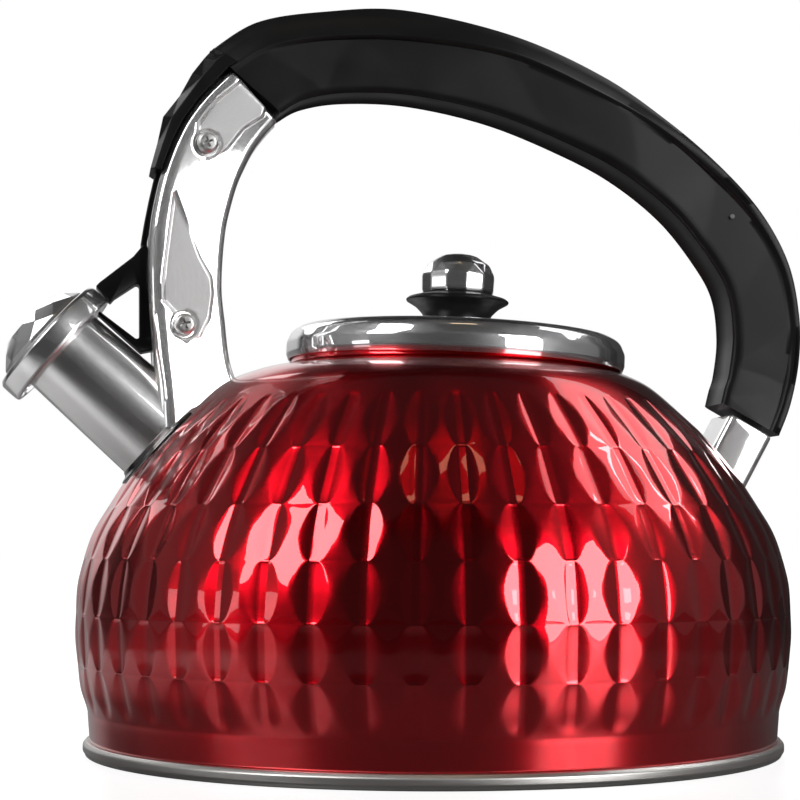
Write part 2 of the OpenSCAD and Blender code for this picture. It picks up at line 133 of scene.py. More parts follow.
def rounded(points, steps=6):
    """A closed outline from (x, y, corner radius) triples, each corner turned into an arc."""
    out = []
    n = len(points)
    for i, (x, y, r) in enumerate(points):
        a = np.array(points[i - 1][:2], float)
        b = np.array((x, y), float)
        c = np.array(points[(i + 1) % n][:2], float)
        if r <= 0:
            out.append(tuple(b))
            continue
        u, v = a - b, c - b
        lu, lv = np.linalg.norm(u), np.linalg.norm(v)
        u, v = u / lu, v / lv
        half = math.acos(max(-1, min(1, float(u @ v)))) / 2
        if half > rad(89):
            out.append(tuple(b))
            continue
        d = min(r / math.tan(half), 0.49 * lu, 0.49 * lv)
        r = d * math.tan(half)
        m = (u + v) / np.linalg.norm(u + v)
        centre = b + m * (r / math.sin(half))
        s, e = b + u * d - centre, b + v * d - centre
        a0, a1 = math.atan2(s[1], s[0]), math.atan2(e[1], e[0])
        turn = (a1 - a0 + math.pi) % (2 * math.pi) - math.pi
        for k in range(steps + 1):
            t = a0 + turn * k / steps
            out.append((centre[0] + r * math.cos(t), centre[1] + r * math.sin(t)))
    return out


def turned(place, angle, radius, height):
    """A point given round the Z axis of a frame."""
    return place @ Vector((radius * math.cos(angle), radius * math.sin(angle), height))


def lathe(name, outline, place, turns, sharp=30):
    """Turns a closed (radius, height) outline about the local Z axis."""
    verts, rings = [], []
    for r, z in outline:
        if abs(r) < 1e-6:
            verts.append(place @ Vector((0, 0, z)))
            rings.append([len(verts) - 1] * turns)
        else:
            start = len(verts)
            for k in range(turns):
                verts.append(turned(place, 2 * math.pi * k / turns, r, z))
            rings.append(list(range(start, start + turns)))
    faces = []
    for i in range(len(rings)):
        p, q = rings[i], rings[(i + 1) % len(rings)]
        for k in range(turns):
            f = [p[k], p[(k + 1) % turns], q[(k + 1) % turns], q[k]]
            f = [x for j, x in enumerate(f) if x not in f[:j]]
            if len(f) > 2:
                faces.append(f)
    return mesh_object(name, verts, faces, sharp=sharp)


def rod(name, radius, low, high, place, turns):
    return lathe(name, [(0, low), (radius, low), (radius, high), (0, high)], place, turns)


def caps(n, rings):
    """The two end faces of a stack of rings of n points."""
    last = (rings - 1) * n
    return [list(range(n)), [last + k for k in range(n - 1, -1, -1)]]


def skin(name, sections, sharp, closed=False):
    """Joins closed sections of equal length into one solid, or into a ring when closed."""
    n, m = len(sections[0]), len(sections)
    verts = [p for s in sections for p in s]
    faces = []
    for i in range(m if closed else m - 1):
        j = (i + 1) % m
        for k in range(n):
            faces.append([i * n + k, i * n + (k + 1) % n, j * n + (k + 1) % n, j * n + k])
    if not closed:
        faces += caps(n, m)
    return mesh_object(name, verts, faces, sharp=sharp)


def prism(name, outline, y0, y1):
    """An XZ outline extruded across the kettle."""
    n = len(outline)
    verts = [(x, y0, z) for x, z in outline] + [(x, y1, z) for x, z in outline]
    faces = [list(range(n)), list(range(n, 2 * n))]
    faces += [[k, (k + 1) % n, n + (k + 1) % n, n + k] for k in range(n)]
    return mesh_object(name, verts, faces, smooth=False)


def smoothstep(x):
    x = np.clip(x, 0, 1)
    return x * x * (3 - 2 * x)


def catmull(knots, first, last, steps):
    """Points on a smooth curve through the knots first to last."""
    out = []
    k = lambda i: np.array(knots[max(0, min(len(knots) - 1, i))], float)
    for i in range(first, last):
        for s in range(steps):
            t = s / steps
            p0, p1, p2, p3 = k(i - 1), k(i), k(i + 1), k(i + 2)
            out.append(0.5 * (2 * p1 + (p2 - p0) * t + (2 * p0 - 5 * p1 + 4 * p2 - p3) * t * t
                              + (3 * p1 - p0 - 3 * p2 + p3) * t * t * t))
    out.append(k(last))
    return np.array(out)


# ---- materials

def material(name, color, metallic, rough, **sockets):
    m = bpy.data.materials.new(name)
    m.use_nodes = True
    sockets.update(Base_Color=(*color, 1), Metallic=metallic, Roughness=rough)
    for key, value in sockets.items():
        shader(m).inputs[key.replace("_", " ")].default_value = value
    return m


def node(m, kind, **props):
    """A new node. Each property is an input, written with underscores, or an attribute."""
    n = m.node_tree.nodes.new(kind)
    for key, value in props.items():
        socket = key.replace("_", " ")
        if socket in n.inputs:
            n.inputs[socket].default_value = value
        else:
            setattr(n, key, value)
    return n


def link(m, a, b):
    m.node_tree.links.new(a, b)


def coords(m, scale=(1, 1, 1)):
    """Metre coordinates in the part's own frame, scaled per axis."""
    tc = node(m, "ShaderNodeTexCoord")
    mp = node(m, "ShaderNodeMapping", Scale=scale)
    link(m, tc.outputs["Object"], mp.inputs["Vector"])
    return mp.outputs["Vector"]


def noise(m, vector, scale, detail, rough=0.5):
    n = node(m, "ShaderNodeTexNoise", Scale=scale, Detail=detail, Roughness=rough)
    link(m, vector, n.inputs["Vector"])
    return n.outputs["Fac"]


def ramp(m, fac, stops):
    r = node(m, "ShaderNodeValToRGB")
    while len(r.color_ramp.elements) < len(stops):
        r.color_ramp.elements.new(0.5)
    for e, (pos, value) in zip(r.color_ramp.elements, stops):
        e.position = pos
        e.color = (*value, 1) if isinstance(value, tuple) else (value, value, value, 1)
    link(m, fac, r.inputs["Fac"])
    return r.outputs["Color"]


def remap(m, fac, low, high, a, b):
    r = node(m, "ShaderNodeMapRange", From_Min=a, From_Max=b, To_Min=low, To_Max=high)
    link(m, fac, r.inputs["Value"])
    return r.outputs["Result"]


def bump(m, height, distance, strength, normal=None, target="Normal"):
    """distance in millimetres."""
    b = node(m, "ShaderNodeBump", Strength=strength, Distance=distance * MM)
    link(m, height, b.inputs["Height"])
    if normal is not None:
        link(m, normal, b.inputs["Normal"])
    link(m, b.outputs["Normal"], shader(m).inputs[target])
    return b.outputs["Normal"]


def shader(m):
    return m.node_tree.nodes["Principled BSDF"]


def maths(m, operation, *values):
    """A math node. Each value is a number or the socket of another node."""
    n = node(m, "ShaderNodeMath", operation=operation)
    for socket, value in zip(n.inputs, values):
        if isinstance(value, (int, float)):
            socket.default_value = value
        else:
            link(m, value, socket)
    return n.outputs[0]


def polar(m, radial, around, along):
    """Coordinates (radius, angle, height) round the kettle's axis, for turned or brushed grain."""
    tc = node(m, "ShaderNodeTexCoord")
    sep = node(m, "ShaderNodeSeparateXYZ")
    link(m, tc.outputs["Object"], sep.inputs[0])
    x, y, z = sep.outputs
    radius = maths(m, "SQRT", maths(m, "MULTIPLY_ADD", y, y, maths(m, "MULTIPLY", x, x)))
    angle = maths(m, "ARCTAN2", y, x)
    com = node(m, "ShaderNodeCombineXYZ")
    for socket, out, scale in zip(com.inputs, (radius, angle, z), (radial, around, along)):
        link(m, maths(m, "MULTIPLY", out, scale), socket)
    return com.outputs[0]


def rough_by(m, fac, low, high, a=0.0, b=1.0):
    """Roughness from low to high as the texture runs from a to b."""
    link(m, remap(m, fac, low, high, a, b), shader(m).inputs["Roughness"])


def brush_round(m):
    """Turns the anisotropic grain round the kettle's axis."""
    link(m, node(m, "ShaderNodeTangent", direction_type="RADIAL", axis="Z").outputs[0],
         shader(m).inputs["Tangent"])


# Candy lacquer: brushed metal glows red under a hard clear coat.
red = material("candy_red_lacquer", (0.72, 0.003, 0.012), 1.0, 0.24,
               Anisotropic=0.75, Anisotropic_Rotation=0.25,
               Coat_Weight=1.0, Coat_Roughness=0.012, Coat_IOR=1.62)
brush_round(red)
grain = noise(red, polar(red, 1500, 9, 2600), 1.0, 2.0)
rough_by(red, grain, 0.20, 0.29)
depth = noise(red, coords(red), 9.0, 2.0)
link(red, ramp(red, depth, [(0.3, (0.66, 0.0025, 0.011)), (0.7, (0.78, 0.0035, 0.014))]),
     shader(red).inputs["Base Color"])
bump(red, grain, 0.012, 0.5)
peel = noise(red, coords(red), 260.0, 1.0)
bump(red, peel, 0.006, 0.35, target="Coat Normal")

# Bare steel inside the body: drawn metal with faint rings.
inside = material("drawn_steel_inside", (0.60, 0.59, 0.57), 1.0, 0.34)
g = noise(inside, polar(inside, 900, 3, 1500), 1.0, 3.0)
rough_by(inside, g, 0.26, 0.42)
bump(inside, g, 0.015, 0.6)

# Satin base ring, turned on a lathe.
satin = material("turned_satin_steel", (0.56, 0.55, 0.53), 1.0, 0.33, Anisotropic=0.5)
brush_round(satin)
g = noise(satin, polar(satin, 5200, 5, 5200), 1.0, 3.0, 0.6)
rough_by(satin, g, 0.26, 0.44)
bump(satin, g, 0.02, 0.7)


BUFFING = (52000, 52000, 21000)     # fine buffing marks, a little longer up the kettle
BUFFING_SPREAD = 0.16               # the buffing noise mostly stays within this of 0.5
BUFFING_EDGE = 0.015                # half the step from mirror to haze


def polished(name, color, rough, waviness, scratch=0.004, *, haze, haze_rough=0.42):
    """Buffed steel: a mirror with a share of haze. Vertices marked "pad" are hazy all over."""
    m = material(name, color, 1.0, rough)
    buffing = noise(m, coords(m, BUFFING), 1.0, 1.0)
    pad = node(m, "ShaderNodeAttribute", attribute_name="pad")
    level = maths(m, "MULTIPLY_ADD", pad.outputs["Fac"], BUFFING_SPREAD, buffing)
    edge = 0.5 + BUFFING_SPREAD * (0.5 - haze)
    rough_by(m, level, rough, haze_rough, edge - BUFFING_EDGE, edge + BUFFING_EDGE)
    long_grain = noise(m, coords(m, (380, 380, 24)), 1.0, 2.0)
    grained = bump(m, long_grain, scratch, 0.5)
    wave = noise(m, coords(m), 38.0, 1.0)
    bump(m, wave, waviness, 0.5, normal=grained)
    return m


chrome_sheet = polished("polished_steel_sheet", (0.88, 0.88, 0.88), 0.05, 0.03,
                        haze=0.14, haze_rough=0.6)
chrome_lid = polished("chrome_lid", (0.82, 0.82, 0.83), 0.035, 0.012, 0.001, haze=0.05)
chrome_cap = polished("chrome_cap", (0.9, 0.9, 0.9), 0.04, 0.02, 0.001, haze=0.4, haze_rough=0.36)
knob_chrome = polished("chrome_knob", (0.82, 0.82, 0.83), 0.04, 0.01, 0.001, haze=0.02)
spout_steel = polished("spout_steel", (0.88, 0.88, 0.88), 0.06, 0.01, 0.003,
                       haze=0.55, haze_rough=0.36)


def small_steel(name, color, rough, grain_scale=900.0):
    """Plain steel or aluminium with an uneven fine grain."""
    m = material(name, color, 1.0, rough)
    n = noise(m, coords(m), grain_scale, 3.0)
    rough_by(m, n, rough * 0.7, rough * 1.4, 0.3, 0.7)
    bump(m, n, 0.01, 0.5)
    return m


# Painted shade: the flange steel is coloured near black for the dark shade round the spout's root.
flange_painted_shade_mat = small_steel("flange_steel_painted_shade", (0.20, 0.19, 0.19), 0.2)
screw_mat = small_steel("plated_screw", (0.72, 0.72, 0.71), 0.40)
spring_mat = small_steel("spring_wire", (0.42, 0.42, 0.42), 0.30, 1500.0)
core_mat = small_steel("core_aluminium", (0.72, 0.73, 0.74), 0.42, 500.0)
whistle_mat = small_steel("pressed_whistle_steel", (0.58, 0.58, 0.57), 0.28, 700.0)
cap_mat = small_steel("base_cap_steel", (0.50, 0.49, 0.48), 0.36, 400.0)
g = noise(cap_mat, polar(cap_mat, 4200, 2, 0), 1.0, 3.0, 0.6)
rough_by(cap_mat, g, 0.26, 0.5)
bump(cap_mat, g, 0.03, 0.8)


def nylon(name, color, rough, grain_mm):
    """Moulded plastic with a fine spark-eroded grain and faint handling marks."""
    m = material(name, color, 0.0, rough, Specular_IOR_Level=0.22)
    fine = noise(m, coords(m), 2600.0, 2.0, 0.6)
    cloud = noise(m, coords(m), 60.0, 3.0)
    rough_by(m, cloud, rough * 0.88, rough * 1.14, 0.3, 0.7)
    dark = tuple(c * 0.8 for c in color)
    light = tuple(c * 1.25 for c in color)
    link(m, ramp(m, cloud, [(0.25, dark), (0.75, light)]), shader(m).inputs["Base Color"])
    bump(m, fine, grain_mm, 0.6)
    return m


handle_mat = nylon("matte_black_nylon", (0.007, 0.007, 0.0073), 0.38, 0.02)
lever_mat = nylon("lever_nylon", (0.005, 0.005, 0.0055), 0.33, 0.015)


def finish(obj, mat, slot, body, *nodes):
    """Gives a piece its material and body, and hides the CAD nodes it stands for. slot is not used.
    """
    obj.data.materials.clear()
    obj.data.materials.append(mat)
    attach(obj, body)
    if nodes:
        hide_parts(*nodes)


def dress(node_name, mat):
    """Gives a CAD node that stays visible its material."""
    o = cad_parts[node_name]
    o.data.materials.clear()
    o.data.materials.append(mat)


# ---- dimensions

SHELL = [(105.4, 4.4), (106.1, 13.0), (108.2, 20.5), (109.5, 30.0), (110.0, 41.0),
         (109.0, 53.5), (105.3, 66.0), (98.2, 78.5), (88.0, 92.6), (78.4, 102.5),
         (69.5, 110.6), (63.5, 114.2), (57.5, 116.5), (50.0, 118.4), (30.0, 121.6), (0.0, 123.0)]
NECK_RADIUS = 51.5
NECK_BORE = 50.4
NECK_FILLET = 1.0
LID_X, LID_Z, LID_LEAN = 7.4, 121.9, 2.4
SPOUT_ROOT = Vector((-84.4, 0, 95.9))
SPOUT_LEAN = 48.5
SPOUT_LENGTH = 44.5
SPOUT_RADIUS = (15.3, 14.1)     # where it meets the body and at its mouth
CAP_START = SPOUT_LENGTH - 4.5
CAP_RADIUS = 20.4
LID_RADIUS = 53.2
PIVOT = (-78.0, 130.3)          # lower screw, X and Z, the pivot of the lever
UPPER = (-71.4, 186.4)          # upper screw
HALF = 11.0                     # half width of the handle and of both brackets
SHEET = 1.2                     # bracket sheet


def placed(x, z, lean):
    """A frame on the middle plane, leaning back by an angle in degrees."""
    return Matrix.Translation(Vector((x, 0, z))) @ Matrix.Rotation(rad(lean), 4, "Y")


def facing_front(x, y, z):
    """A frame whose Z axis points to the near side of the kettle."""
    return Matrix.Translation(Vector((x, y, z))) @ Matrix.Rotation(rad(90), 4, "X")


LID = placed(LID_X, LID_Z, LID_LEAN)
SPOUT = placed(SPOUT_ROOT.x, SPOUT_ROOT.z, -SPOUT_LEAN)


def along_spout(distance):
    return SPOUT @ Matrix.Translation(Vector((0, 0, distance)))


CAP = along_spout(CAP_START)
profile = catmull(SHELL, 1, len(SHELL) - 1, 24)
dome_r, dome_z = profile[::-1, 0], profile[::-1, 1]


def wall_radius(z):
    """Body radius at a height, below the dome."""
    return float(np.interp(z, profile[:, 1], profile[:, 0]))


def dome_height(r):
    """Height of the body's skin at a radius, above the dome's shoulder."""
    return np.interp(r, dome_r, dome_z)


# ---- quilted body

ROWS = [13.0, 27.3, 42.8, 59.4, 74.6, 90.6, 106.0]
COLUMNS = 49
PHASE = 2.54        # turn of the first column, degrees
LENS = 0.35         # half width of a pressed oval, as a share of the pitch
OVAL_POWER = 0.55   # shape of its outline, 0.5 for an ellipse
STRIP_HALF = 1.0    # half width of the flat strip down its middle
WALL_SLOPE = math.tan(rad(9.0))
ROW_SAG = 0.07      # how far a cushion falls away at its top and bottom
GROOVE = 0.02       # fine crease between two rows
GROOVE_WIDTH = 0.075    # share of half a row
CROWN = 0.13        # how far the cushion between two ovals swells
# Where the rings of one row sit: dense at both ends.
ROW_MARKS = (0.0, 0.02, 0.045, 0.08, 0.13, 0.2, 0.29, 0.39, 0.5, 0.61, 0.71, 0.8, 0.87, 0.92,
             0.955, 0.98)


def quilted_body():
    """The pressed body with its neck and its inner wall, as one closed skin of rings."""
    seg = np.hypot(*np.diff(profile, axis=0).T)
    arc = np.concatenate([[0], np.cumsum(seg)])
    at_z = lambda z: float(np.interp(z, profile[:, 1], arc))
    tangent = np.gradient(profile, axis=0)
    tangent /= np.linalg.norm(tangent, axis=1)[:, None]
    point = lambda s: (np.interp(s, arc, profile[:, 0]), np.interp(s, arc, profile[:, 1]))

    def normal(s):
        t0, t1 = np.interp(s, arc, tangent[:, 0]), np.interp(s, arc, tangent[:, 1])
        return t1, -t0

    # Across one column: strip, wall of the oval, crowned cushion.
    def across(strip, edge):
        w, half = edge - strip, 0.5 - edge
        marks = [0.0, strip - 0.012, strip + min(0.012, w * 0.12)]
        marks += [strip + w * k for k in (0.3, 0.5, 0.7, 0.86)] + [edge]
        return marks + [edge + half * k for k in (0.2, 0.42, 0.7)] + [0.5]

    rings = [(None, z) for z in (4.4, 5.2, 8.0, 11.0, 12.3)]
    for i in range(len(ROWS) - 1):
        a, b = at_z(ROWS[i]), at_z(ROWS[i + 1])
        rings += [((i, m), a + (b - a) * m) for m in ROW_MARKS]
    rings.append(((len(ROWS) - 1, 0.0), at_z(ROWS[-1])))

    verts = []
    last_row = len(ROWS) - 2
    for tag, s in rings:
        if tag is None:
            (r1, z1), (r2, z2) = SHELL[:2]
            r0, z0, nr, nz = r1 + (r2 - r1) * (s - z1) / (z2 - z1), s, 0.0, 0.0
            v, sag = 1.0, 0.0
        else:
            row, v = tag[0], 2 * tag[1] - 1
            (r0, z0), (nr, nz) = point(s), normal(s)
            crease = math.exp(-((1 - abs(v)) / GROOVE_WIDTH) ** 2)
            sag = ROW_SAG * math.sin(math.pi / 2 * v) ** 2 + GROOVE * crease
            if row > last_row or (row == last_row and v > 0):
                sag *= 0.4
            if row == 0 and v < 0:
                sag *= 0.5
        pitch = 2 * math.pi * r0 / COLUMNS
        strip = STRIP_HALF / pitch
        edge = strip + max(0.02, (LENS - strip) * max(0.0, 1 - v * v) ** OVAL_POWER)
        marks = across(strip, edge)
        col = marks + [1 - m for m in marks[-2:0:-1]]
        deep = (edge - strip) * pitch * WALL_SLOPE * (1 if abs(v) < 1 else 0)
        if tag is not None and tag[0] == 0:
            deep *= smoothstep((v + 1) / 0.6)
        crown = CROWN * math.cos(math.pi / 2 * v) ** 2
        for c in range(COLUMNS):
            for m in col:
                side = min(m, 1 - m)
                k = np.clip((edge - side) / (edge - strip), 0, 1)
                swell = np.clip((side - edge) / (0.5 - edge), 0, 1)
                h = crown * math.sin(math.pi / 2 * swell) - deep * (0.8 * k + 0.2 * k * k) - sag
                az = rad(PHASE + (c + m) * 360 / COLUMNS)
                r, z = r0 + h * nr, z0 + h * nz
                verts.append((r * math.sin(az), -r * math.cos(az), z))
    per_ring = COLUMNS * len(col)
    # From here on every ring has the same points round the body.
    base = np.array(verts[-per_ring:])
    angles = np.arctan2(base[:, 1], base[:, 0])
    start_r = np.hypot(base[:, 0], base[:, 1])
    cos_l, sin_l = math.cos(rad(LID_LEAN)), math.sin(rad(LID_LEAN))

    def neck_ring(radius, local_z):
        """A ring square to the leaning neck."""
        x, y = radius * np.cos(angles), radius * np.sin(angles)
        lz = np.broadcast_to(local_z, x.shape)
        return np.stack([LID_X + x * cos_l + lz * sin_l, y, LID_Z - x * sin_l + lz * cos_l], 1)

    foot = neck_ring(NECK_RADIUS + NECK_FILLET, 0.0)
    out = []
    steps = 16
    for k in range(1, steps + 1):
        t = k / steps
        w = t * t * (3 - 2 * t) * 0.35 + t * 0.65
        p = base[:, :2] * (1 - w) + foot[:, :2] * w
        z = dome_height(np.hypot(p[:, 0], p[:, 1]))
        fade = (1 - t) ** 2
        z = z + (base[:, 2] - dome_height(start_r)) * fade
        out.append(np.column_stack([p, z]))
    low = out[-1]
    corner = neck_ring(NECK_RADIUS, 0.0)
    corner[:, 2] = dome_height(np.hypot(corner[:, 0], corner[:, 1]))
    local = (corner[:, 2] - LID_Z + NECK_RADIUS * np.cos(angles) * sin_l) / cos_l
    high = neck_ring(NECK_RADIUS, local + NECK_FILLET)
    corner = neck_ring(NECK_RADIUS, local)
    for k in range(1, 8):
        t = k / 7
        out.append(low * (1 - t) ** 2 + corner * 2 * t * (1 - t) + high * t * t)
    out += [neck_ring(r, z) for r, z in ((NECK_RADIUS, 0.6), (51.35, 1.0), (50.95, 1.2),
                                         (50.55, 1.0))]
    outer_rings = len(rings) + len(out)
    # Inside: neck tube, then the inner wall down to the bottom edge.
    out += [neck_ring(r, z) for r, z in ((NECK_BORE, 0.5), (NECK_BORE, -8.3), (50.95, -8.5),
                                         (NECK_RADIUS, -8.2), (NECK_RADIUS, local - 1.1))]
    for share in (0.5, 1.0):
        p = foot[:, :2] * (1 - share) + base[:, :2] * share
        out.append(np.column_stack([p, dome_height(np.hypot(p[:, 0], p[:, 1])) - 1.6]))
    ring_dir = base[:, :2] / start_r[:, None]
    for z in (100, 90, 78, 66, 53, 41, 30, 20, 12, 4.4):
        r = wall_radius(z) - 2.2 if z > 13 else 104.4
        out.append(np.column_stack([ring_dir * r, np.full(len(base), float(z))]))
    verts = np.vstack([np.array(verts)] + out)
    total = len(verts) // per_ring
    here = np.arange(per_ring)
    following = (here + 1) % per_ring
    quads = []
    for i in range(total):
        a, b = i * per_ring, (i + 1) % total * per_ring
        quads.append(np.stack([a + here, a + following, b + following, b + here], 1))
    faces = np.vstack(quads)
    obj = mesh_object("body_quilted", verts.tolist(), faces.tolist())
    obj.data.materials.append(red)
    obj.data.materials.append(inside)
    for i, p in enumerate(obj.data.polygons):
        p.material_index = 0 if i // per_ring < outer_rings else 1
    return obj


body = quilted_body()
bore = rod("bore", 14.1, -24, 7, SPOUT, 64)
bore.data.materials.append(inside)
cut(body, bore)
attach(body, "kettle")
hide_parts("body_shell")

# ---- base ring

base_ring = lathe("base_ring", rounded([
    (0, 3.4, 0), (101.6, 3.4, 1.0), (103.4, 0, 0.6), (106.6, 0, 0.7), (106.95, 0.9, 0.3),
    (107.45, 1.5, 0.8), (107.45, 3.3, 1.0), (106.5, 4.4, 0.5), (104.3, 4.4, 0.05),
    (104.3, 6.6, 0.1), (103.3, 6.6, 0.1), (103.3, 4.4, 0.3), (0, 4.4, 0)]), placed(0, 0, 0), 256)
finish(base_ring, satin, "satin_steel", "kettle", "base_pan")

# ---- spout

SPOUT_TURNS = 144


def spout_meets_body(a, radius, sink):
    """Distance along the spout axis where a line on its skin reaches the body."""
    lo, hi = -14.0, 30.0
    for _ in range(40):
        t = (lo + hi) / 2
        p = turned(SPOUT, a, radius, t)
        outside = math.hypot(p.x, p.y) - (wall_radius(p.z) - sink)
        if p.z > ROWS[-1]:
            outside = p.z - (float(dome_height(math.hypot(p.x, p.y))) - sink)
        if outside > 0:
            hi = t
        else:
            lo = t
    return (lo + hi) / 2


def spout_tube():
    """A tapered tube with a rolled lip, trimmed to the curve of the body."""
    root, mouth = SPOUT_RADIUS
    lip_start, wall = 41.5, 1.0
    lip = rounded([(mouth, lip_start, 0), (mouth, 42.3, 0.6), (14.8, 43.3, 0.5),
                   (14.8, SPOUT_LENGTH, 0.45), (13.5, SPOUT_LENGTH, 0.4), (13.1, 43.6, 0.6),
                   (13.1, lip_start, 0)], 5)
    columns = []
    for k in range(SPOUT_TURNS):
        a = 2 * math.pi * k / SPOUT_TURNS
        t0 = spout_meets_body(a, root, 1.4)
        outer = []
        for u in (0.0, 0.25, 0.5, 0.75):
            t = t0 + (lip_start - t0) * u
            outer.append((root + (mouth - root) * max(0, t) / 42.5, t))
        inner = [(r - wall, t) for r, t in outer[::-1]]
        columns.append([turned(SPOUT, a, r, t) for r, t in outer + lip + inner])
    return skin("spout_pipe", columns, closed=True, sharp=35)


finish(spout_tube(), spout_steel, "polished_steel", "kettle", "spout_tube")


def spout_collar():
    """The thin flange that seals the tube to the body."""
    columns = []
    for k in range(SPOUT_TURNS):
        a = 2 * math.pi * k / SPOUT_TURNS
        ring = []
        for radius, lift in ((15.2, -1.2), (15.25, 1.9), (15.6, 1.75), (16.0, 1.0), (16.6, 0.65),
                             (17.6, 0.6), (18.1, 0.45), (18.3, 0.1), (18.3, -1.4)):
            ring.append(turned(SPOUT, a, radius, spout_meets_body(a, radius, 0.0) + lift))
        columns.append(ring)
    return skin("spout_flange", columns, closed=True, sharp=50)


# The flange's near-black colour is painted shade.
finish(spout_collar(), flange_painted_shade_mat, "polished_steel", "kettle", "spout_collar")

# ---- front bracket

# The rear and the front edge of a plate, X and Z, from the handle down to the spout.
PAIRS = [
    (-50.9, 194.5, -64.6, 209.9), (-54.0, 191.0, -71.8, 202.8), (-57.6, 186.0, -77.8, 195.0),
    (-60.2, 181.0, -82.0, 186.8), (-62.8, 175.0, -85.3, 177.6), (-64.6, 169.0, -87.4, 169.0),
    (-66.4, 161.0, -88.8, 160.0), (-67.4, 151.0, -89.2, 149.0), (-67.6, 141.0, -88.8, 136.0),
    (-66.6, 131.5, -88.0, 126.5), (-65.9, 124.0, -87.6, 121.0), (-65.0, 118.5, -87.0, 115.5),
    (-63.6, 114.0, -86.4, 110.0), (-62.2, 109.5, -86.0, 104.5), (-62.0, 104.0, -85.6, 98.5),
    (-66.0, 98.0, -85.0, 91.0)]
REAR_REACH = 1.1        # the polished rear edge reaches a little past the CAD sheet
PLATE_FALL = 0.205      # how steeply a plate slopes inward to the rear
PAD_FLATNESS = 0.95     # how much of that slope a pad loses
PAD_SHOULDER = 1.1
CUP_DEPTH = 1.6         # screw cups
# Flat pads round the two screws: a long leaf below, a short tab above.
PADS = [
    [(-81.5, 170.5), (-76.5, 158.5), (-73.5, 151), (-70, 145), (-69.5, 140), (-70.5, 132.5),
     (-73.5, 126.5), (-77.5, 125), (-80.5, 127.5), (-81, 134), (-85, 138), (-84, 150)],
    [(-60, 207), (-70, 198.5), (-74, 194), (-75, 186), (-70.5, 182), (-65.5, 185),
     (-60.5, 191.5), (-54.5, 195.5), (-53.5, 199)]]


def spread_at(z):
    """The legs lean out evenly to pass either side of the spout root."""
    top, fall, spread, ends = 134, 28.0, 5.8, 0.06
    k = (top - z) / fall
    if k < ends:
        return spread * max(0.0, k + ends) ** 2 / (4 * ends)
    if k > 1 - ends:
        return spread * (1 - max(0.0, 1 + ends - k) ** 2 / (4 * ends))
    return spread * k


def arc(count):
    """The sine and cosine of evenly spread angles from 0 to 90 degrees."""
    angles = [math.pi / 2 * k / (count - 1) for k in range(count)]
    return [(math.sin(a), math.cos(a)) for a in angles]


def plate_section(width):
    """Distance in from the rear edge and y, first along the outside, then back along the inside."""
    r1, r2 = 2.2, 4.6
    inner = width - r2 - r1
    outside = [(0.0, 2.0), (0.0, HALF - r1 - 2)]
    outside += [(r1 * (1 - c), HALF - r1 + r1 * s) for s, c in arc(7)]
    outside += [(r1 + inner * k / 60, HALF) for k in range(1, 60)]
    outside += [(width - r2 * (1 - s), HALF - r2 * (1 - c)) for s, c in arc(11)]
    outside += [(width, 5.6), (width - 0.15, 4.9), (width - 0.6, 4.6), (width - SHEET, 4.9)]
    back = [(width - SHEET, 5.8)]
    q = r2 - SHEET
    back += [(width - SHEET - q * (1 - s), HALF - SHEET - q * (1 - c)) for s, c in arc(7)[::-1]]
    back += [(width - r2 - inner * k / 12, HALF - SHEET) for k in range(1, 12)]
    q = r1 - SHEET
    back += [(SHEET + q * (1 - s), HALF - SHEET - q * (1 - s)) for s, c in arc(5)[::-1]]
    back += [(SHEET, HALF - 4.5), (SHEET, 2.0)]
    return outside, back


def cup_depth(x, z):
    """Depth of the screw cups pressed into the sheet."""
    return sum(CUP_DEPTH * (1 - smoothstep((math.hypot(x - cx, z - cz) - 3.7) / 0.9))
               for cx, cz in (UPPER, PIVOT))


def pad_share(x, z):
    """1 inside a flat pad, 0 outside, with a soft shoulder."""
    best = -9.0
    for outline in PADS:
        within, near = False, 1e9
        for (ax, az), (bx, bz) in zip(outline, outline[1:] + outline[:1]):
            ex, ez = bx - ax, bz - az
            t = min(1.0, max(0.0, ((x - ax) * ex + (z - az) * ez) / (ex * ex + ez * ez)))
            near = min(near, math.hypot(x - ax - t * ex, z - az - t * ez))
            if (az > z) != (bz > z) and x < ax + (z - az) * ex / ez:
                within = not within
        best = max(best, near if within else -near)
    return smoothstep(best / PAD_SHOULDER + 0.5)


def bracket_plate(name, sign):
    """One pressed cheek of the front bracket. sign is the side of the kettle, as the sign of y."""
    rear = catmull([p[:2] for p in PAIRS], 0, len(PAIRS) - 1, 18) + [REAR_REACH, 0.0]
    front = catmull([p[2:] for p in PAIRS], 0, len(PAIRS) - 1, 18)
    face = HALF - 0.01
    columns, dull = [], []
    for i, (a, b) in enumerate(zip(rear, front)):
        width = float(np.linalg.norm(b - a))
        u = (b - a) / width
        outside, back = plate_section(width)
        # The first rows turn in under the handle.
        end = max(0.0, 1 - i / 6.0)
        lip = 1.0 - math.sqrt(max(0.0, 1 - end * end))
        ring = []
        for w, y in outside + back:
            x, z = a[0] + u[0] * w, a[1] + u[1] * w
            yy = y
            pad = 0.0
            if y > 4:
                fall = PLATE_FALL * width * (1 - np.clip(w / width, 0, 1))
                if y > face:
                    pad = pad_share(x, z)
                    # A pad keeps the height of its middle.
                    fall += pad * PAD_FLATNESS * (PLATE_FALL * width * 0.5 - fall)
                yy -= fall
            if y > face:
                yy -= cup_depth(x, z)
            yy -= lip * 1.1 if (w, y) in outside and y > 5 else 0.0
            yy += spread_at(z) * y / HALF
            ring.append((x, sign * yy, z))
            dull.append(float(pad))
        columns.append(ring)
    obj = skin(name, columns, sharp=50)
    mark = obj.data.attributes.new("pad", "FLOAT", "POINT")
    mark.data.foreach_set("value", dull)
    return obj


for name, sign, node_name in (("bracket_cheek_near", -1, "bracket_plate_near"),
                              ("bracket_cheek_far", 1, "bracket_plate_far")):
    finish(bracket_plate(name, sign), chrome_sheet, "polished_steel", "kettle", node_name)

# ---- rear bracket

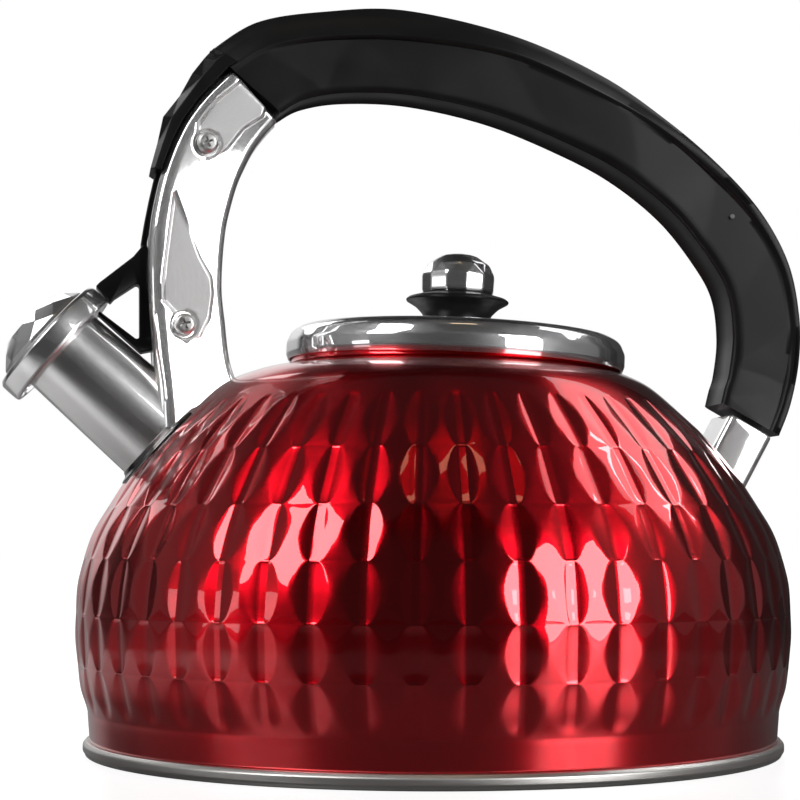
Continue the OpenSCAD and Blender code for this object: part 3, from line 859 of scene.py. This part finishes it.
FOOT = placed(93.6, 87.4, 29.0)
# Heights of the sections, and how far the rounded end shrinks at each.
CHANNEL_LEVELS = ((-14, 0), (-6, 0), (2, 0), (8, 0), (12.6, 0), (14.4, 0.0), (15.0, 0.12),
                  (15.3, 0.45), (15.36, 0.8))


def rear_channel():
    """A bent channel with its slot toward the back of the kettle."""
    w, d, t = 15.6 / 2, HALF, SHEET
    g = 3.5     # half width of the slot
    outline = rounded([
        (w, g, 0.3), (w, d, 2.6), (-w, d, 2.6), (-w, -d, 2.6), (w, -d, 2.6), (w, -g, 0.3),
        (w - t, -g, 0.3), (w - t, -d + t, 1.4), (-w + t, -d + t, 1.4), (-w + t, d - t, 1.4),
        (w - t, d - t, 1.4), (w - t, g, 0.3)], 8)
    sections = []
    for h, shrink in CHANNEL_LEVELS:
        ring = []
        for x, y in outline:
            crown = 0.0
            if abs(y) > d - 0.02 and abs(x) < w - 2.5:
                crown = 0.05 * (1 - (x / (w - 2.4)) ** 2)
            sx = x - math.copysign(shrink, x) if abs(x) > w - 0.7 else x
            sy = y - math.copysign(shrink, y) if abs(y) > d - 0.7 else y
            ring.append(FOOT @ Vector((sx, sy + math.copysign(crown, y), h)))
        sections.append(ring)
    return skin("rear_channel", sections, sharp=40)


finish(rear_channel(), chrome_sheet, "polished_steel", "kettle", "rear_bracket")

# ---- handle

# Across the grip, X and Z: inner edge, ridge, outer edge, and the half width of the outer edge.
STATIONS = [
    ((-48.9, 196.6), (-64.4, 209.6), (-70.8, 215.6), 6.5),
    ((-41.3, 201.0), (-52.0, 217.2), (-56.0, 225.6), 5.5),
    ((-27.6, 203.6), (-33.0, 221.2), (-34.5, 230.0), 5.0),
    ((-6.2, 203.3), (-8.0, 221.9), (-9.0, 231.5), 4.5),
    ((19.8, 198.1), (23.4, 217.8), (25.6, 224.6), 5.0),
    ((44.6, 188.7), (51.6, 206.4), (54.4, 212.4), 6.0),
    ((61.4, 180.0), (72.6, 195.0), (75.5, 197.9), 8.0),
    ((76.7, 168.1), (90.6, 180.6), (93.0, 182.9), 9.0),
    ((87.8, 154.6), (103.6, 167.0), (105.9, 168.6), 9.0),
    ((94.0, 143.4), (112.2, 151.8), (114.4, 152.7), 9.0),
    ((95.7, 130.0), (115.4, 134.9), (117.7, 135.4), 9.0),
    ((94.4, 118.2), (115.0, 121.2), (117.3, 121.5), 9.0),
    ((92.8, 112.8), (112.2, 108.6), (114.4, 107.9), 9.0),
    ((91.6, 108.1), (108.4, 98.9), (110.4, 97.8), 9.0)]


STATION_STEPS = 20
FACET_LENGTH = 1.55     # stations per facet
FACET_LIFT = (0.45, 0.95, 0.6, 0.0, 0.5, 0.4, 0.45, 1.0, 0.6, 0.1, 0.5, 0.75)


def facet_height(s, t):
    """Height over one row of large flat triangles with corners alternating between the edges.

    Corners sit at whole s on the inner edge, t = 0, and half way between on the outer, t = 1.
    """
    ia = math.floor(s)
    u = s - ia
    before, foot_a, peak, foot_b, after = (FACET_LIFT[(2 * ia + k) % len(FACET_LIFT)]
                                           for k in (-1, 0, 1, 2, 3))
    if u < 0.5 * t:
        return foot_a + ((before + peak) / 2 - foot_a) * t + (peak - before) * u
    if 1 - u < 0.5 * t:
        return foot_b + ((peak + after) / 2 - foot_b) * t + (after - peak) * (u - 1)
    return foot_a + (peak - (foot_a + foot_b) / 2) * t + (foot_b - foot_a) * u


def handle():
    """The grip: flat triangles on the sides between a thin raised ridge and a soft inner edge."""
    last = len(STATIONS) - 1
    curves = [catmull([s[k] for s in STATIONS], 0, last, STATION_STEPS) for k in range(3)]
    crown = catmull([(s[3], 0) for s in STATIONS], 0, last, STATION_STEPS)[:, 0]
    rings = []
    for k, row in enumerate(zip(*curves)):
        i, r, o = (Vector((p[0], 0, p[1])) for p in row)
        up, c = (r - i).normalized(), crown[k]
        along = k / STATION_STEPS / FACET_LENGTH
        half = [(i + up * 0.3, HALF - 3.1), (i, HALF - 2.6), (i + up * 0.3, HALF - 1.95),
                (i + up * 1.1, HALF - 1.35)]
        for t in np.linspace(0.12, 0.92, 13):
            half.append((i.lerp(r, t), HALF - 1.9 + 1.5 * facet_height(along, float(t))))
        half += [(i.lerp(r, 0.95), HALF - 0.55), (i.lerp(r, 0.975), HALF - 0.2), (r, HALF - 0.1),
                 (r.lerp(o, 0.06), HALF - 0.45), (r.lerp(o, 0.12), HALF - 1.1)]
        wave = 0.7 * facet_height(along * 1.3 + 0.4, 0.5)
        half += [(r.lerp(o, 0.55), (HALF + c) / 2 - 0.2 + wave), (r.lerp(o, 0.93), c + 0.7),
                 (o, c - 0.2)]
        rings.append([(p.x, -y, p.z) for p, y in half] + [(p.x, y, p.z) for p, y in reversed(half)])
    return skin("handle_bow", rings, sharp=42)


def handle_front():
    """Faceted band over the front edge of the bracket."""
    line = [(-88.8, 178.2), (-86.6, 186.8), (-85.0, 194.6), (-79.9, 201.7), (-76.2, 208.4),
            (-72.4, 213.8), (-69.6, 216.6)]
    rear = [(-85.5, 177.8), (-82.2, 187.0), (-78.9, 193.6), (-74.6, 199.8), (-70.0, 204.9),
            (-65.2, 210.0), (-62.6, 212.0)]
    verts = []
    for k, (f, b) in enumerate(zip(line, rear)):
        e = 4.8 if k % 2 else 7.0
        x, z = (f[0] + b[0]) / 2 - 0.4, (f[1] + b[1]) / 2
        half = [(b[0], HALF - 0.3, b[1]), (x, HALF - 0.9, z), (f[0], e, f[1])]
        verts += [(x, -y, z) for x, y, z in half] + half[::-1]
    n = 6
    faces = []
    for s in range(len(line) - 1):
        for k in range(n):
            a, b = s * n + k, s * n + (k + 1) % n
            c, d = b + n, a + n
            if (s + (k if k < 3 else 5 - k)) % 2:
                faces += [[a, b, c], [a, c, d]]
            else:
                faces += [[a, b, d], [b, c, d]]
    faces += caps(n, len(line))
    return bevel(mesh_object("handle_nose", verts, faces, smooth=False), 0.25, 2, 6)


def handle_tongue():
    """The end of the grip that sits between the bracket plates."""
    obj = prism("handle_tongue", [
        (-76.6, 194.6), (-64.6, 209.0), (-52.0, 206.0), (-49.5, 197.6), (-52.6, 195.2),
        (-58.8, 186.3), (-62.4, 179.6), (-66.0, 178.9), (-67.0, 186.0), (-80.8, 186.6)], -6.0, 6.0)
    return bevel(obj, 0.5, 2, 20)


for piece in (handle(), handle_front(), handle_tongue()):
    finish(piece, handle_mat, "black_nylon", "kettle", "handle_grip")

gate_mat = nylon("gate_scar", (0.16, 0.16, 0.16), 0.5, 0.02)
gate = lathe("gate_scar", rounded([(0, -0.6, 0), (0.75, -0.6, 0), (0.75, 0.12, 0.1),
                                   (0, 0.16, 0)], 3), facing_front(95.4, -HALF + 0.5, 167.6), 24)
finish(gate, gate_mat, "black_nylon", "kettle")

# ---- screws, spring

def screw(name, p):
    """A domed head with a tapered cross recess."""
    place = facing_front(p[0], -9.4, p[1])
    head = lathe(name, rounded([(0, 0, 0), (3.3, 0, 0.2), (3.35, 0.9, 0.5), (2.5, 1.85, 1.2),
                                (0, 2.05, 0)], 6), place, 48)
    for turn in (20, 110):
        c, s = math.cos(rad(turn)), math.sin(rad(turn))
        block = []
        for sx in (-1, 1):
            for sy in (-1, 1):
                for z, k in ((0.6, 0.55), (2.6, 1.0)):
                    x, y = sx * 1.95 * k, sy * 0.42 * k
                    block.append(place @ Vector((x * c - y * s, x * s + y * c, z)))
        cut(head, mesh_object("cross", block, [[0, 1, 3, 2], [4, 6, 7, 5], [0, 4, 5, 1], [2, 3, 7, 6],
                                               [0, 2, 6, 4], [1, 5, 7, 3]], smooth=False))
    shade(head)
    mark_sharp(head, 35)
    return head


for name, p in (("screw_lower", PIVOT), ("screw_upper", UPPER)):
    finish(screw(name, p), screw_mat, "screw_steel", "kettle", "bracket_screws")
dress("screw_posts", screw_mat)


def spring():
    """Three coils round the lower screw with a straight leg at each end."""
    steps, coils, radius, wire, pitch = 24, 3, 4.2, 0.9, 1.08
    cu = bpy.data.curves.new("lever_spring", "CURVE")
    cu.dimensions = "3D"
    cu.bevel_depth = wire / 2 * MM
    cu.bevel_resolution = 3
    cu.use_fill_caps = True
    pts = []
    for k in range(coils * steps + 1):
        a = rad(360 * k / steps + 150)
        pts.append((PIVOT[0] + radius * math.cos(a), -7.85 + k / steps * pitch,
                    PIVOT[1] + radius * math.sin(a)))
    s, e = pts[0], pts[-1]
    pts = [(s[0] + 5.0, s[1], s[2] + 8.7)] + pts + [(e[0] - 3.8, e[1], e[2] - 6.6)]
    sp = cu.splines.new("POLY")
    sp.points.add(len(pts) - 1)
    for q, p in zip(sp.points, pts):
        q.co = (p[0] * MM, p[1] * MM, p[2] * MM, 1)
    return add("lever_spring", cu)


finish(spring(), spring_mat, "spring_steel", "kettle", "torsion_spring")

# ---- lever and cap


def lever():
    """The open triangle between the pivot and the ring of the cap."""
    outline = rounded([
        (-89.9, 156.2, 1), (-93.6, 151.6, 3), (-103.8, 143.4, 0.6), (-104.9, 142.2, 0.4),
        (-100.5, 137.2, 0.4), (-99.2, 138.7, 0.6), (-91.7, 143.8, 0.8), (-91.5, 125.4, 0.8),
        (-104.2, 134.9, 0.4), (-105.0, 134.0, 0.3), (-104.4, 132.2, 0.5), (-91.6, 121.9, 1.2),
        (-86.5, 123.0, 2), (-80.0, 124.2, 1), (-75.5, 136.2, 2), (-84.0, 143.0, 2),
        (-87.6, 150.0, 2)], 3)
    obj = bevel(prism("lever_frame", outline, -3.8, 3.8), 0.45, 2, 35)
    cut(obj, rod("ring_space", CAP_RADIUS + 0.02, 0, 17, along_spout(CAP_START - 0.02), 96))
    cut(obj, rod("tube_space", 15.65, -10, 60, SPOUT, 96))
    cut(obj, rod("post_space", 3.05, -9, 9, facing_front(PIVOT[0], 0, PIVOT[1]), 48))
    return obj


def lever_strip():
    """The thin strip that runs up the open front of the bracket."""
    line = [(-89.4, 146.0), (-90.2, 151.0), (-90.3, 156.0), (-89.4, 162.0), (-88.2, 168.4),
            (-86.9, 174.4), (-85.5, 180.2)]
    section = rounded([(-0.9, -3.2, 0.5), (1.0, -3.2, 0.5), (1.0, 3.2, 0.5), (-0.9, 3.2, 0.5)], 3)
    sections = []
    for k, (x, z) in enumerate(line):
        a, b = line[max(0, k - 1)], line[min(len(line) - 1, k + 1)]
        t = Vector((b[0] - a[0], 0, b[1] - a[1])).normalized()
        nrm = Vector((-t.z, 0, t.x))
        ring = []
        for u, y in section:
            p = Vector((x, 0, z)) + nrm * u
            ring.append((p.x, y, p.z))
        sections.append(ring)
    return skin("lever_strip", sections, sharp=40)


for piece in (lever(), lever_strip()):
    finish(piece, lever_mat, "lever_nylon", "whistle_cap", "lever")

r = CAP_RADIUS
cap_ring = lathe("cap_band", rounded([
    (r - 1.4, 0, 0.2), (r - 0.3, 0, 0.4), (r, 1.0, 0.6), (r + 0.05, 3.6, 0), (r, 6.2, 0.8),
    (r - 0.9, 7.3, 0.7), (r - 3.4, 7.3, 0.2), (r - 3.4, 6.2, 0.2), (r - 1.5, 6.0, 0.4),
    (r - 1.5, 1.4, 0.3)], 5), CAP, 192)
finish(cap_ring, chrome_cap, "cap_chrome", "whistle_cap", "cap_ring")


def gem(name, place, n, levels, start=0.0):
    """A cut-stone solid from rings of n points.

    A level is (radius, height, turn in steps). Rings with the same turn are joined by flat
    quads, others by triangles.
    """
    verts, faces = [], []
    for r, z, step in levels:
        for j in range(n):
            verts.append(turned(place, 2 * math.pi * (j + step) / n + start, r, z))
    for k in range(len(levels) - 1):
        shift = levels[k + 1][2] - levels[k][2]
        for j in range(n):
            a, b = k * n + j, k * n + (j + 1) % n
            c, d = a + n, b + n
            if abs(shift) < 0.01:
                faces.append([a, b, d, c])
            elif shift > 0:
                faces += [[a, b, c], [b, d, c]]
            else:
                faces += [[a, b, d], [a, d, c]]
    faces += caps(n, len(levels))
    return mesh_object(name, verts, faces, smooth=False)


DOME = along_spout(CAP_START + 7.2)
dome = gem("cap_rosette", DOME, 10, [
    (16.9, 0.0, 0.0), (16.5, 1.5, 0.0), (13.6, 4.4, 0.5), (9.4, 6.9, 0.0), (4.2, 7.2, 0.5)])
bevel(dome, 0.28, 2, 4)
cut(dome, lathe("dome_space", [(0, -1), (13.6, -1), (13.4, 1.0), (8.0, 4.6), (0, 5.2)], DOME, 64))
cut(dome, rod("steam_hole", 1.6, 3, 9, DOME, 32))
finish(dome, chrome_cap, "cap_chrome", "whistle_cap", "cap_dome")
dress("whistle_plate", whistle_mat)
dress("whistle_disc", whistle_mat)

# ---- lid

r = LID_RADIUS
lid = lathe("lid_cover", rounded([
    (2.1, 7.95, 0.1), (16, 7.4, 20), (30, 6.2, 20), (38.2, 5.6, 3), (41, 6.2, 3), (r - 9.0, 6.7, 3),
    (r - 5.0, 6.3, 3), (r - 2.6, 5.0, 2.4), (r - 1.3, 3.4, 2), (r - 1.2, -2.7, 0.2),
    (r - 0.7, -3.0, 0.4), (r, -1.2, 1.8), (r, 2.4, 3.5), (r - 1.5, 5.9, 4.0), (r - 4.6, 7.6, 5.0),
    (r - 8.6, 8.0, 4.0), (41.2, 7.4, 3), (38.2, 6.8, 3), (30, 7.4, 20), (16, 8.6, 20),
    (2.1, 9.15, 0.1)], 7), LID, 256, sharp=60)
finish(lid, chrome_lid, "lid_chrome", "lid", "lid_shell")
dress("lid_plug", small_steel("plug_steel", (0.55, 0.54, 0.53), 0.3, 2400.0))

collar = lathe("knob_skirt", rounded([
    (2.1, 9.2, 0), (9.5, 9.2, 0.3), (9.7, 10.6, 3), (10.8, 13.6, 6), (13.2, 16.0, 6),
    (16.0, 17.6, 0.5), (16.3, 18.2, 0.4), (15.4, 18.9, 0.8), (11.6, 20.0, 1.0),
    (11.0, 20.2, 0.1), (2.1, 20.2, 0)], 6), LID, 144)
finish(collar, handle_mat, "black_nylon", "lid", "knob_collar")


KNOB_SIDES = 12
KNOB_TURN = rad(-102.6 + 15)    # puts the middle of one side toward the front
knob = gem("knob_head", LID, KNOB_SIDES, [
    (10.9, 20.0, 0.0), (11.6, 21.0, 0.0), (11.8, 26.0, 0.0), (9.7, 29.8, 0.5), (5.8, 32.3, 0.0),
    (3.0, 33.0, 0.5)], KNOB_TURN)
bevel(knob, 0.9, 4, 4)
cut(knob, rod("screw_space", 2.05, 19, 28, LID, 32))
finish(knob, knob_chrome, "lid_chrome", "lid", "knob_cap")
dress("knob_screw", screw_mat)
dress("heat_disc", core_mat)
dress("base_cap", cap_mat)

# ---- stage, lights

FLOOR = 6000    # half its side

# White where the camera sees it. In reflections its colour is darker, with a painted pool of light
# brightest under the spout and painted shade that darkens it away from the kettle.
floor_mat = material("pale_floor", (0.15, 0.15, 0.15), 0.0, 0.32)
spread = node(floor_mat, "ShaderNodeSeparateXYZ")
link(floor_mat, coords(floor_mat), spread.inputs[0])
reach = node(floor_mat, "ShaderNodeVectorMath", operation="LENGTH")
link(floor_mat, coords(floor_mat), reach.inputs[0])
speck = noise(floor_mat, coords(floor_mat), 2.5, 2.0)
# Painted light: the floor colour is brighter to the left of the kettle, under the spout.
painted_light_pool = maths(floor_mat, "MULTIPLY_ADD", remap(floor_mat, spread.outputs[0], 0.8, 0.0, -0.25, -0.14),
            remap(floor_mat, spread.outputs[1], 0.0, 1.0, -0.20, -0.08), 0.125)
tone = maths(floor_mat, "MULTIPLY_ADD", speck, 0.03, painted_light_pool)
# Painted shade: the floor colour falls off from 0.31 m to 0.37 m out from the kettle.
painted_falloff_shade = maths(floor_mat, "MULTIPLY", tone,
                  remap(floor_mat, reach.outputs["Value"], 1.0, 0.12, 0.31, 0.37))
link(floor_mat, painted_falloff_shade, shader(floor_mat).inputs["Base Color"])
seen = node(floor_mat, "ShaderNodeLightPath").outputs["Is Camera Ray"]
glow = maths(floor_mat, "MULTIPLY", remap(floor_mat, reach.outputs["Value"], 0.88, 1.0, 0.20, 0.32),
             seen)
link(floor_mat, glow, shader(floor_mat).inputs["Emission Strength"])
shader(floor_mat).inputs["Emission Color"].default_value = (1, 1, 1, 1)
floor = mesh_object("floor", [(-FLOOR, -FLOOR, 0), (FLOOR, -FLOOR, 0), (FLOOR, FLOOR, 0),
                              (-FLOOR, FLOOR, 0)], [[0, 1, 2, 3]], smooth=False)
floor.data.materials.append(floor_mat)

YAW, TILT = 9.0, 3.87   # camera, degrees
FOCAL = 2.53625         # in picture widths
cam = bpy.data.cameras.new("camera")
cam.sensor_width = 36
cam.lens = FOCAL * cam.sensor_width
cam.clip_start = 0.01
cam.clip_end = 50
camera = add("camera", cam)
camera.location = Vector((-109.5, -627.0, 65.6)) * MM
camera.rotation_euler = (rad(90 + TILT), 0, rad(-YAW))
scene.camera = camera


def toward(azimuth, elevation=0.0):
    """A direction in the room. Azimuth 0 is the camera side, plus is to its right."""
    a, e = rad(azimuth - 90 - YAW), rad(elevation)
    return Vector((math.cos(a) * math.cos(e), math.sin(a) * math.cos(e), math.sin(e)))


def softbox(name, azimuth, elevation, distance, width, height, radiance, color=(1, 1, 1)):
    """A rectangular area light aimed at the kettle."""
    d = bpy.data.lights.new(name, "AREA")
    d.shape = "RECTANGLE"
    d.size, d.size_y = width, height
    d.energy = radiance * math.pi * width * height
    d.color = color
    target = Vector((0, 0, 0.09))
    o = add(name, d)
    o.location = target + toward(azimuth, elevation) * distance
    o.rotation_euler = (target - o.location).to_track_quat("-Z", "Y").to_euler()


softbox("key_right", 44.5, 15, 1.5, 0.69, 0.97, 6.0)
softbox("bulb_right", 42, 9, 1.49, 0.10, 0.12, 5.0)
softbox("key_left", -52, 35, 1.5, 0.54, 1.05, 5.5)
softbox("low_left", -66, 4, 1.5, 0.35, 0.25, 1.8)
softbox("high_right", 118, 46, 1.5, 1.2, 0.62, 1.5)
softbox("strip_right", 104, 44, 1.48, 0.07, 0.6, 8.0)
softbox("high_left", -138, 34, 1.5, 0.9, 0.5, 2.0)
softbox("ceiling_lamp", 16, 71, 2.0, 0.42, 0.20, 1.9, (1.0, 0.74, 0.45))

world = bpy.data.worlds.new("studio")
scene.world = world
world.use_nodes = True
sky = node(world, "ShaderNodeTexCoord").outputs["Generated"]
sky_axes = node(world, "ShaderNodeSeparateXYZ")
link(world, sky, sky_axes.inputs[0])
up = sky_axes.outputs[2]


def room_side(azimuth):
    """1 toward this side of the room, 0 on the opposite side."""
    dot = node(world, "ShaderNodeVectorMath", operation="DOT_PRODUCT")
    dot.inputs[1].default_value = toward(azimuth)
    link(world, sky, dot.inputs[0])
    return maths(world, "MULTIPLY_ADD", dot.outputs["Value"], 0.5, 0.5)


# Dark room in front, grey walls at the sides, a bright backdrop behind, a dark ceiling.
walls = maths(world, "MULTIPLY",
              ramp(world, room_side(0), [(0.0, 0.03), (0.31, 0.03), (0.34, 0.16), (0.725, 0.16),
                                         (0.75, 0.036)]),
              ramp(world, up, [(0.0, 1.0), (0.62, 1.0), (0.8, 0.28)]))
behind = maths(world, "MULTIPLY",
               ramp(world, room_side(-163), [(0.0, 0.0), (0.92, 0.0), (0.95, 0.85)]),
               ramp(world, up, [(0.0, 0.3), (0.22, 1.0), (0.5, 1.0), (0.66, 0.0)]))
room = world.node_tree.nodes["Background"]
link(world, maths(world, "ADD", walls, behind), room.inputs["Color"])
# The camera itself sees plain white.
backdrop = node(world, "ShaderNodeBackground")
backdrop.inputs["Color"].default_value = (1, 1, 1, 1)
mix = node(world, "ShaderNodeMixShader")
link(world, node(world, "ShaderNodeLightPath").outputs["Is Camera Ray"], mix.inputs[0])
link(world, room.outputs[0], mix.inputs[1])
link(world, backdrop.outputs[0], mix.inputs[2])
link(world, mix.outputs[0], world.node_tree.nodes["World Output"].inputs["Surface"])
scene.view_settings.view_transform = "Standard"
